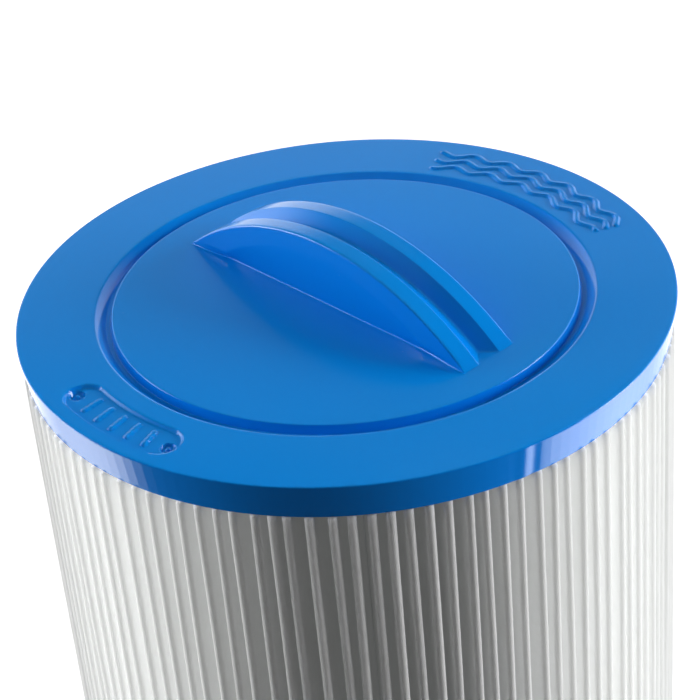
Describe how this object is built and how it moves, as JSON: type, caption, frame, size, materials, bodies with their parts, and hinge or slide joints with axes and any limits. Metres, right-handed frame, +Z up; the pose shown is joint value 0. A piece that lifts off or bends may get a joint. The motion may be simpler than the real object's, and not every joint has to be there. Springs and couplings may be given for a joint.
{
  "type": "pleated filter cartridge",
  "caption": "Round pleated spa filter cartridge with blue end caps, a half-moon grip on top and a coarse-threaded outlet below.",
  "frame": {"origin": "on the cartridge's axis at the lower end of the threaded spigot", "axes": "+Z up along the cartridge's axis, towards the handle; +X along the handle; the arc-shaped pocket in the top rim faces -Y"},
  "size_m": [0.152, 0.152, 0.2531],
  "materials": {
    "cap_blue": "moulded ABS, satin gloss",
    "spigot_blue": "moulded ABS, satin gloss",
    "media": "spunbond polyester, calendered",
    "seam": "hot melt",
    "potting": "cast polyurethane",
    "core_white": "moulded polypropylene"
  },
  "bodies": {
    "root": {"top_end_cap": "cap_blue", "top_potting": "potting", "pleated_media": "media", "media_seam": "seam", "core_upper": "core_white", "core_middle": "core_white", "core_lower": "core_white", "bottom_potting": "potting", "bottom_end_cap": "cap_blue", "threaded_spigot": "spigot_blue"}
  },
  "joints": []
}
